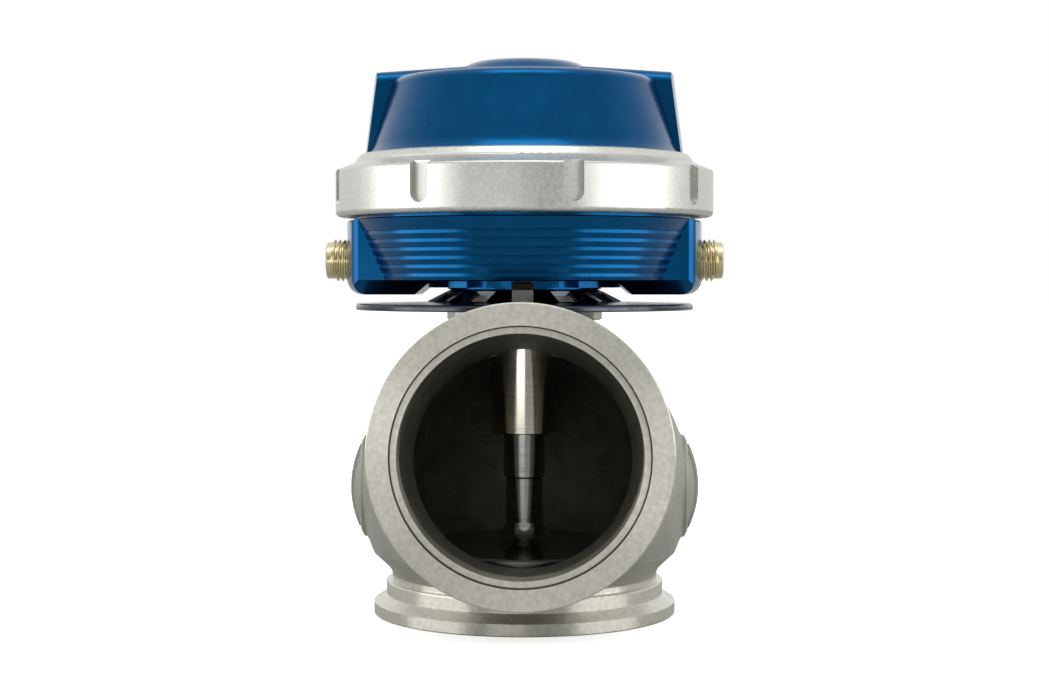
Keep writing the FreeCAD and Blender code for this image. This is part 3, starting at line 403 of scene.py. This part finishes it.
def turned_metal(name, dark, light, roughness, pitch, depth):
    """A bare metal with tool lines round the Z axis, pitch millimetres apart."""
    material, tree, shader, place = start_finish(name, Metallic=1.0)
    lines = cells(tree, place, pitch, stretch=(40, 40, 1), detail=2.0)
    tree.links.new(shades(tree, lines, dark, light), shader.inputs["Base Color"])
    tree.links.new(spread(tree, lines, roughness - 0.04, roughness + 0.06),
                   shader.inputs["Roughness"])
    relief(tree, shader, lines, depth)
    print(name, len(tree.nodes), "nodes")
    return material


valve_steel = turned_metal("turned_valve_steel", "#8E8F8B", "#A4A5A0", 0.17, 0.45, 0.003)
seat_steel = turned_metal("ground_hard_facing", "#77756E", "#8A8880", 0.3, 0.3, 0.004)
bronze = turned_metal("turned_dark_bronze", "#B4B0A5", "#C6C2B7", 0.12, 0.4, 0.0006)
bright = turned_metal("bright_stainless_screw", "#B4B4AE", "#CBCBC4", 0.22, 0.4, 0.003)
plain = turned_metal("plain_turned_aluminium", "#BEBEBA", "#D0D0CB", 0.3, 0.35, 0.004)

# %% [markdown]
# ## Nickel-plated brass
# The port fittings lie along the X axis, so their tool lines run round that axis instead.
# The thin plating lets some of the brass through as a warm, slightly golden grey.

# %% Plated brass finish
plated, tree, shader, place = start_finish("nickel_plated_brass", Metallic=1.0)
lines = cells(tree, place, 0.3, stretch=(1, 40, 40), detail=2.0)
tree.links.new(shades(tree, lines, "#CFC49F", "#DED5B4"), shader.inputs["Base Color"])
tree.links.new(spread(tree, cells(tree, place, 1.5), 0.17, 0.27), shader.inputs["Roughness"])
relief(tree, shader, lines, 0.003)
print(plated.name, len(tree.nodes), "nodes")

# %% [markdown]
# ## Pressed stainless sheet
# The heat shield is polished sheet: almost a mirror, with faint drawing lines from the
# press and a trace of waviness. Its dark navy cone is partly a real reflection of the blue
# base above it, from the smooth, low roughness, and partly a painted reflection: the sheet's
# colour is a dark blue-grey.

# %% Pressed sheet finish
sheet, tree, shader, place = start_finish("polished_stainless_sheet", Metallic=1.0)
drawn = cells(tree, place, 5.0, detail=2.0)
# Painted reflection: the dark blue-grey colour stands in for part of the navy reflection of the
# base.
tree.links.new(shades(tree, drawn, "#3D4349", "#4E545B"), shader.inputs["Base Color"])
tree.links.new(spread(tree, cells(tree, place, 0.8, detail=3.0), 0.13, 0.22),
               shader.inputs["Roughness"])
relief(tree, shader, cells(tree, place, 0.25, stretch=(30, 30, 1)), 0.002,
       under=relief(tree, shader, drawn, 0.02))
print(sheet.name, len(tree.nodes), "nodes")

# %% [markdown]
# ## Rubber, fibre and plastic
# The diaphragm is silicone rubber moulded on woven cloth, so the weave shows through as a
# fine grid. The stem seal is matt black rubber, the gasket is pressed grey fibre, and the
# thrust ring under the collar is white PTFE, waxy and slightly translucent.

# %% Soft finishes
cloth_rubber, tree, shader, place = start_finish(
    "silicone_rubber_on_cloth", Roughness=0.55, Sheen_Weight=0.25, Sheen_Roughness=0.4)
mapped = add(tree, "ShaderNodeMapping", {"Vector": place, "Scale": [per_mm(1.1)] * 3})
threads = [add(tree, "ShaderNodeTexWave", {"Vector": mapped.outputs[0], "Scale": 1.0},
               bands_direction=axis).outputs["Fac"] for axis in ("X", "Y")]
weave = either(tree, threads[0], threads[1])
tree.links.new(shades(tree, weave, "#5A1E12", "#7A2C1B"), shader.inputs["Base Color"])
relief(tree, shader, weave, 0.06)

black_rubber, tree, shader, place = start_finish("matt_fluoro_rubber", Roughness=0.7)
tree.links.new(shades(tree, cells(tree, place, 0.6, detail=3.0), "#141413", "#201F1E"),
               shader.inputs["Base Color"])
relief(tree, shader, cells(tree, place, 0.25), 0.01)

fibre, tree, shader, place = start_finish("pressed_fibre_sheet", Roughness=0.8)
tree.links.new(shades(tree, cells(tree, place, 0.5, detail=5.0), "#2E2E2D", "#484745"),
               shader.inputs["Base Color"])
relief(tree, shader, cells(tree, place, 0.3, detail=3.0), 0.03)

ptfe, tree, shader, place = start_finish(
    "white_ptfe", Roughness=0.4, Subsurface_Weight=0.15, Subsurface_Scale=0.001)
tree.links.new(shades(tree, cells(tree, place, 3.0), "#E2E1DB", "#EEEDE8"),
               shader.inputs["Base Color"])
relief(tree, shader, cells(tree, place, 0.3, stretch=(40, 40, 1)), 0.004)
print("soft finishes ready")

# %% [markdown]
# ## Spring wire and black oxide
# Spring wire is shot peened and painted a dark blue-grey: tiny dimples scatter the light.
# The blanking screws are black oxide steel, almost black and softly glossy.

# %% Spring and plug finishes
peened, tree, shader, place = start_finish(
    "painted_peened_spring_wire", Metallic=0.35, Coat_Weight=0.2, Coat_Roughness=0.3)
dimples = cells(tree, place, 0.35, detail=2.0)
tree.links.new(shades(tree, dimples, "#26303F", "#354152"), shader.inputs["Base Color"])
tree.links.new(spread(tree, dimples, 0.35, 0.5), shader.inputs["Roughness"])
relief(tree, shader, dimples, 0.02)

oxide, tree, shader, place = start_finish("black_oxide_steel", Metallic=1.0)
tree.links.new(shades(tree, cells(tree, place, 0.8, detail=3.0), "#17171A", "#26262A"),
               shader.inputs["Base Color"])
tree.links.new(spread(tree, cells(tree, place, 0.3), 0.3, 0.42), shader.inputs["Roughness"])
print("spring and plug finishes ready")

# %% [markdown]
# ## Dress the solids
# Where a solid already has the real shape, it stays and only takes a finish. The table
# pairs every node with its material.

# %% Give every node its finish
finishes = {
    "valve_body": cast, "valve_seat": seat_steel, "valve_guide": bronze,
    "poppet_valve": valve_steel, "body_bolts": bright, "shield_gasket": fibre,
    "heat_shield": sheet, "actuator_base": blue, "stem_seal": black_rubber,
    "seal_retainer": plain, "port_fitting_left": plated, "port_fitting_right": plated,
    "diaphragm": cloth_rubber, "diaphragm_retainer": plain, "spring_seat": plain,
    "stem_washer": bright, "stem_nut": bright, "outer_spring": peened,
    "middle_spring": peened, "inner_spring": peened, "actuator_cap": blue,
    "arm_plug_left": oxide, "arm_plug_right": oxide, "thrust_ring": ptfe,
    "locking_collar": clear}
for name, finish in finishes.items():
    for material_slot in nodes[name].material_slots:
        material_slot.material = finish
print("nodes dressed:", len(finishes))

# %% [markdown]
# ## Making a piece from a bmesh
# New pieces are modelled in a bmesh and handed over once: doubles are merged, normals are
# made to point outwards, edges sharper than a set angle stay crisp, and the piece rides on
# its body in place of the solid that it stands for. A piece that bends between two bodies
# rides on neither.

# %% Finish a piece


def hand_over(name, bm, material, body, node, crisp=32, merge=0.002):
    """Turn a bmesh in metres into a piece that replaces a node and rides on its body, if any."""
    bmesh.ops.remove_doubles(bm, verts=bm.verts, dist=merge * MM)
    bmesh.ops.recalc_face_normals(bm, faces=bm.faces)
    data = bpy.data.meshes.new(name)
    bm.to_mesh(data)
    bm.free()
    data.materials.append(material)
    data.shade_smooth()
    data.set_sharp_from_angle(angle=math.radians(crisp))
    piece = bpy.data.objects.new(name, data)
    bpy.context.scene.collection.objects.link(piece)
    if body:
        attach(piece, body)
    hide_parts(node)
    print(name, len(data.polygons), "faces")
    return piece


def outline(corners, rounds=None, segments=4):
    """A closed outline in the XZ plane, millimetres; rounds gives a radius per corner."""
    bm = bmesh.new()
    points = [bm.verts.new((u * MM, 0, w * MM)) for u, w in corners]
    for first, second in zip(points, points[1:] + points[:1]):
        bm.edges.new((first, second))
    for index, radius in (rounds or {}).items():
        bmesh.ops.bevel(bm, geom=[points[index]], offset=radius * MM, segments=segments,
                        affect="VERTICES", profile=0.5, material=-1)
    return bm


def spun(bm, steps=128, axis=(0, 0, 1), centre=(0, 0, 0)):
    """Turn an outline all the way round an axis."""
    bmesh.ops.spin(bm, geom=bm.verts[:] + bm.edges[:], cent=centre, axis=axis,
                   angle=math.tau, steps=steps, use_merge=True)
    return bm


print("piece helpers ready")

# %% [markdown]
# ## Springs
# Three springs stand one inside another between the piston cup and the cap's roof. Each is
# wire coiled on a mandrel with a closed coil at both ends. A circle is spun with a rise per
# step, once for each stretch: closed, open, closed. As the valve lifts, the coils close
# up; here each spring is fixed to the housing.

# %% Coil the springs
spring_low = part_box("stem_washer")[0][2]
spring_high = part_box("outer_spring")[1][2]
coil_gap = 0.15


def coil(name, mean, wire, turns, steps=40):
    """A compression spring of a mean radius, wire radius and number of open coils, in mm."""
    bm = bmesh.new()
    closed = (2 * wire + coil_gap) * MM
    start = spring_low + wire * MM
    rise = spring_high - spring_low - 2 * wire * MM - 2 * closed
    ring = bmesh.ops.create_circle(bm, segments=14, radius=wire * MM)["verts"]
    bmesh.ops.rotate(bm, verts=ring, matrix=Matrix.Rotation(math.radians(90), 3, "X"))
    bmesh.ops.translate(bm, verts=ring, vec=(mean * MM, 0, start))
    bm.faces.new(ring)
    last = bm.faces[:]
    for count, climb in ((1, closed), (turns, rise), (1, closed)):
        number = round(steps * count)
        made = bmesh.ops.spin(bm, geom=last, axis=(0, 0, 1), dvec=(0, 0, climb / number),
                              angle=math.tau * count, steps=number)
        last = [item for item in made["geom_last"] if isinstance(item, bmesh.types.BMFace)]
    piece = hand_over(name + "_wire", bm, peened, "housing", name)
    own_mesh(piece)


coil("outer_spring", 25.9, 2.0, 3.2)
coil("middle_spring", 18.4, 1.5, 4.0)
coil("inner_spring", 11.6, 1.1, 5.5)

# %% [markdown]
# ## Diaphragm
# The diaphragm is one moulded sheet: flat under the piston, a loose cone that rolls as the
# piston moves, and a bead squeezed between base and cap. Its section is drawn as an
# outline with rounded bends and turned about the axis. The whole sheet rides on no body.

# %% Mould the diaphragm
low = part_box("diaphragm")[0][2] / MM
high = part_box("diaphragm")[1][2] / MM
hole_r = 4.03
flat_r = 32.0
bead_r = 45.2
flat_top = low + 0.8
bead_bottom = high - 1.0
section = outline([
    (hole_r, low), (flat_r, low), (flat_r + 0.9, low + 0.5), (39.9, bead_bottom - 0.1),
    (40.8, bead_bottom), (bead_r, bead_bottom), (bead_r, high), (39.4, high),
    (flat_r, flat_top + 0.5), (flat_r - 0.6, flat_top), (hole_r, flat_top)],
    {1: 0.4, 4: 0.3, 7: 0.6, 5: 0.2, 6: 0.2})
diaphragm = hand_over("moulded_diaphragm", spun(section, 144), cloth_rubber, None,
                      "diaphragm", crisp=50)
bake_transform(diaphragm)

# %% [markdown]
# ## Port fittings
# The fittings are turned bar with a rolled thread of 1.27 mm pitch. The core is an outline
# spun round the X axis. The thread is one tooth of four corners, sunk a little into the
# core and spun with a rise per step. Where it reaches the end, its points are drawn in to
# the cone that chamfers the end.

# %% Turn the port fittings
fitting_low, fitting_high = [corner / MM for corner in (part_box("port_fitting_right")[0][0],
                                                       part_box("port_fitting_right")[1][0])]
port_z = sum(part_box("port_fitting_right")[i][2] for i in (0, 1)) / 2
shoulder = 46.4
bore_r = 3.4
core_r = 4.86
crest_r = 5.55
chamfer = 0.35
mouth = 0.5
thread_pitch = 1.27
thread_turns = 4.4
steps_per_turn = 72
tooth = [(-0.44, core_r - 0.1), (-0.08, crest_r), (0.08, crest_r), (0.44, core_r - 0.1)]
cone_length = 1.0
cone_slope = 0.8


def fitting(name, side):
    """A threaded nipple on the +X side (side 1) or the -X side (side -1)."""
    bm = outline([
        (fitting_low, bore_r), (fitting_low, crest_r - chamfer),
        (fitting_low + chamfer, crest_r), (shoulder, crest_r), (shoulder + 0.5, core_r),
        (fitting_high - chamfer, core_r), (fitting_high, core_r - chamfer),
        (fitting_high, bore_r + mouth), (fitting_high - mouth, bore_r)],
        {2: 0.15, 3: 0.1, 6: 0.15})
    spun(bm, 96, axis=(1, 0, 0))
    pitch = thread_pitch * MM
    start = shoulder * MM - 0.9 * pitch
    face = bm.faces.new([bm.verts.new((start + share * pitch, 0, r * MM))
                         for share, r in tooth])
    number = int(thread_turns * steps_per_turn)
    bmesh.ops.spin(bm, geom=[face], axis=(1, 0, 0), angle=math.tau * thread_turns,
                   steps=number, dvec=(pitch * thread_turns / number, 0, 0))
    cone_start = (fitting_high - cone_length) * MM
    for vert in bm.verts:
        radius = math.hypot(vert.co.y, vert.co.z)
        limit = crest_r * MM - max(0, vert.co.x - cone_start) * cone_slope
        vert.co.x = min(vert.co.x, fitting_high * MM)
        if radius > limit:
            vert.co.y *= limit / radius
            vert.co.z *= limit / radius
    bmesh.ops.translate(bm, verts=bm.verts, vec=(0, 0, port_z))
    if side < 0:
        bmesh.ops.scale(bm, verts=bm.verts, vec=(-1, 1, 1))
    hand_over(name + "_turned", bm, plated, "housing", name,
              crisp=40, merge=0.0005)


fitting("port_fitting_right", 1)
fitting("port_fitting_left", -1)

# %% [markdown]
# ## Studio light
# The product stands in a white tent: wide soft boxes left and right give the pale bands on
# both sides of every round part, a box overhead lights the top of the flange face, and a
# low white card in front draws the thin bright line down the guide and the stem. The tent
# is left open towards the camera, so that the middle of each round part stays dark.

# %% Light the studio


def soft_box(name, place, aim, width, height, power):
    """A rectangular light at a place, turned towards a point."""
    data = bpy.data.lights.new(name, "AREA")
    data.shape = "RECTANGLE"
    data.size = width
    data.size_y = height
    data.energy = power
    light = bpy.data.objects.new(name, data)
    light.location = place
    light.rotation_euler = (Vector(aim) - Vector(place)).to_track_quat("-Z", "Y").to_euler()
    bpy.context.scene.collection.objects.link(light)
    print(name, "at", place)


middle = (0, 0, 0.09)
soft_box("left_box", (-0.65, -0.25, 0.17), middle, 0.66, 0.34, 1.65)
soft_box("right_box", (0.64, -0.29, 0.17), middle, 0.70, 0.34, 1.7)
soft_box("low_card", (-0.13, -0.64, 0.045), (0, 0, 0.045), 0.32, 0.08, 0.19)
soft_box("top_box", (0, -0.22, 0.72), middle, 0.5, 0.3, 0.95)

# %% [markdown]
# ## The tent
# The tent's wall is brighter behind the product and overhead than on the camera's side, so
# the world's strength follows the direction. The camera itself sees plain white.

# %% Hang the tent behind
world = bpy.data.worlds.new("white_tent")
bpy.context.scene.world = world
world.use_nodes = True
tree = world.node_tree
backdrop = tree.nodes["Background"]
facing = add(tree, "ShaderNodeTexCoord").outputs["Generated"]
direction = add(tree, "ShaderNodeSeparateXYZ", {0: facing}).outputs
behind = add(tree, "ShaderNodeMapRange", {
    "Value": direction["Y"], "From Min": -0.3, "From Max": 0.4, "To Min": 0.34,
    "To Max": 0.92}).outputs[0]
overhead = add(tree, "ShaderNodeMapRange", {
    "Value": direction["Z"], "From Min": 0.25, "From Max": 0.85}).outputs[0]
tent = choose(tree, overhead, behind, 1.0, "FLOAT")
seen = add(tree, "ShaderNodeLightPath").outputs["Is Camera Ray"]
tree.links.new(choose(tree, seen, tent, 1.0, "FLOAT"), backdrop.inputs["Strength"])
backdrop.inputs["Color"].default_value = (1, 1, 1, 1)
print(world.name, len(tree.nodes), "nodes")

# %% [markdown]
# ## The floor's surface
# The floor is matt white paint with the faintest unevenness. Seen straight from the camera
# it also glows a little, so it melts into the white tent. The product meets a plainer grey,
# which keeps its undersides from washing out.

# %% Finish the floor
paint, tree, shader, place = start_finish("matt_white_paint", Roughness=0.9)
seen = add(tree, "ShaderNodeLightPath").outputs["Is Camera Ray"]
tree.links.new(choose(tree, seen, linear("#B4B4B2"),
                      shades(tree, cells(tree, place, 40.0), "#F6F6F5", "#FAFAF9")),
               shader.inputs["Base Color"])
tree.links.new(choose(tree, seen, linear("#000000"), linear("#FFFFFF")),
               shader.inputs["Emission Color"])
shader.inputs["Emission Strength"].default_value = 0.45
floor.data.materials.append(paint)
bpy.context.view_layer.update()
